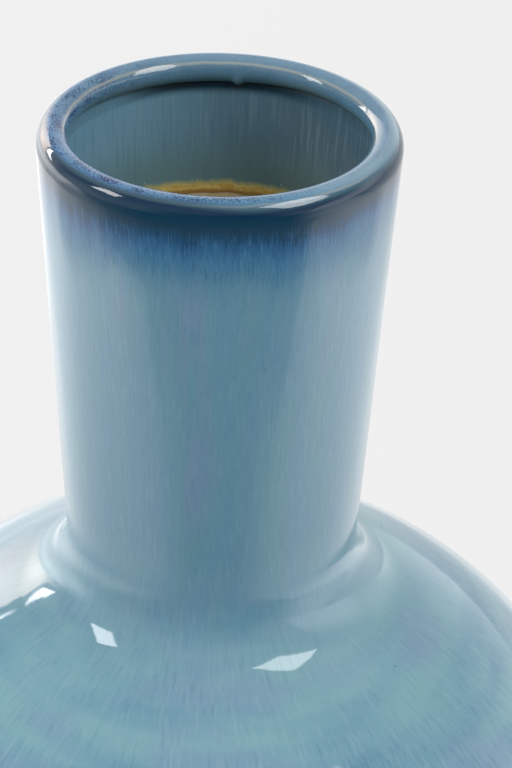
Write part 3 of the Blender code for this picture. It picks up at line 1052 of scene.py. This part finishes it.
def table_ends(graph, across, along, aside, reach):
    """How the table dims past the reach of its lit part on the left, and in a band at either side."""
    beyond = graph.scaled(along, -0.22, reach)
    beyond = graph.span(beyond, TABLE_REACH - REACH_SOFTNESS, TABLE_REACH + REACH_SOFTNESS)
    beyond = graph.product(beyond, graph.fall(across, -0.1, 0.0))
    dimmed = graph.span(along, -0.25, 0.05, 0.15, 0.62)
    dimmed = graph.product(dimmed, graph.span(reach, 0.6, 1.6, 1.0, 1.6))
    dimmed = graph.most(dimmed, graph.span(along, 0.25, 0.5, 0.0, 0.85))
    ending = graph.scaled(beyond, graph.math("SUBTRACT", dimmed, 1.0), 1.0)
    band = graph.product(graph.span(aside, 0.40, 0.44), graph.span(along, 0.2, 0.32, 0.32, 0.0))
    band = graph.product(band, graph.span(reach, 0.42, 0.47))
    return graph.product(ending, graph.math("SUBTRACT", 1.0, band))


def table_glow(graph):
    """The white table's brightness: dim by the vase, in front and behind, brightest to the left."""
    place = graph.node("ShaderNodeTexCoord", {}).outputs["Object"]
    across, along, _ = graph.node("ShaderNodeSeparateXYZ", {0: place}).outputs
    aside = graph.math("ABSOLUTE", across)
    reach = graph.node("ShaderNodeVectorMath", {0: place}, operation="LENGTH").outputs["Value"]
    front = table_in_front(graph, across, along, aside, reach)
    behind = table_behind(graph, across, along, aside)
    ends = table_ends(graph, across, along, aside, reach)
    away = graph.scaled(reach, 5.0, 0.15)
    away = graph.most(graph.math("MINIMUM", away, 2.35), 1.3)
    left = graph.math("DIVIDE", graph.dot(place, TABLE_LIT_FROM), reach)
    left = graph.math("POWER", graph.most(left, 0.0), 8.0)
    bright_left = graph.product(left, graph.span(reach, 0.5, 1.5, 0.0, 1.8))
    return graph.scaled(graph.product(front, behind, ends), away, bright_left)


def window_glow(graph, direction, up):
    """The window's glows: under its top and within its side, and all round low down."""
    under_top = graph.fall(up, WINDOW_TOP, WINDOW_TOP + 0.008)
    within_side = graph.fall(graph.dot(direction, WINDOW_SIDE), 0.0, 0.012)
    low = graph.fall(up, 0.05, 0.09)
    open_part = graph.most(graph.product(under_top, within_side), low)
    glow = 0.0
    for middle, strength, tightness in WINDOW_GLOW:
        reach = graph.most(graph.dot(direction, towards(*middle)), 0.0)
        glow = graph.scaled(graph.math("POWER", reach, tightness), strength, glow)
    return graph.product(glow, open_part)


def room_glow(graph, direction, back, up):
    """The room and its bright side walls."""
    beside = graph.span(back, -0.93, -0.6, ROOM_FRONT, ROOM_SIDES)
    behind = graph.most(beside, graph.span(back, 0.0, 0.6, 0.0, ROOM_BACK))
    room = graph.span(up, 0.20, 0.5, behind, ROOM_CEILING)
    walls = 0.0
    for brightness, front_edge in (WALL_LEFT, WALL_RIGHT):
        inside_edge = graph.span(graph.dot(direction, front_edge), 0.0, 0.10, 0.0, brightness)
        walls = graph.most(inside_edge, walls)
    walls = graph.product(walls, graph.fall(up, *WALL_TOP), graph.span(back, 0.1, 0.7, 1.0, WALL_BACK))
    return graph.most(walls, room)


def world_light():
    """A plain pale backdrop to the eye. In the gloss, the room and a warm window behind."""
    world = bpy.data.worlds.new("studio")
    bpy.context.scene.world = world
    world.use_nodes = True
    graph = Graph(world.node_tree)
    direction = graph.node("ShaderNodeTexCoord", {}).outputs["Generated"]
    _, back, up = graph.node("ShaderNodeSeparateXYZ", {0: direction}).outputs
    window = window_glow(graph, direction, up)
    gloss = graph.math("ADD", window, room_glow(graph, direction, back, up))
    path = graph.node("ShaderNodeLightPath", {})
    unseen = graph.span(path.outputs["Is Glossy Ray"], 0.0, 1.0, ROOM_FILL, gloss)
    shown = graph.span(path.outputs["Is Camera Ray"], 0.0, 1.0, unseen, BACKDROP)
    background = world.node_tree.nodes["Background"]
    warm = graph.product(graph.span(window, 0.3, 3.0), path.outputs["Is Glossy Ray"])
    graph.feed(background.inputs["Color"], graph.mix(warm, WHITE, WINDOW_TINT))
    graph.feed(background.inputs["Strength"], shown)


def floor_glow(graph):
    """The pale floor's own light, a little brighter to the left."""
    place = graph.node("ShaderNodeTexCoord", {}).outputs["Object"]
    across = graph.node("ShaderNodeSeparateXYZ", {0: place}).outputs[0]
    return graph.span(across, -0.3, 0.3, *FLOOR_GLOW)


def studio():
    """A plain pale floor, and the table top and softboxes that the glaze mirrors."""
    world_light()
    for box in SOFTBOXES:
        softbox(*box)
    bpy.ops.mesh.primitive_plane_add(size=FLOOR_SIZE, location=(0, 0, 0))
    floor = bpy.context.object
    floor.name = "floor"
    floor.data.materials.append(glow_material("pale_floor", floor_glow, FLOOR_GREY))
    floor.visible_glossy = False
    corners = ((-1, -1), (1, -1), (1, 1), (-1, 1))
    sheet = [(x * TABLE_HALF, y * TABLE_HALF, TABLE_Z) for x, y in corners]
    table = card("table_in_the_gloss", sheet, glow_material("table_in_the_gloss", table_glow))
    table.visible_diffuse = False
    table.visible_shadow = False
    table.visible_transmission = False


# ---------------- the scene


def dress(piece, material):
    """Gives a piece its material and puts it in the place of the frame's node of the same part."""
    obj = piece()
    obj.data.materials.append(material)
    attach(obj, "root")
    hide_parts(piece.__name__)


def main():
    bpy.context.scene.view_settings.view_transform = "Standard"
    camera()
    studio()
    dress(outer_glaze, glaze_material())
    dress(liner_glaze, liner_material())
    clay = stoneware_material()
    for section in (lip_ring, neck, shoulder, bowl, floor_disc, foot_ring):
        dress(section, clay)


main()
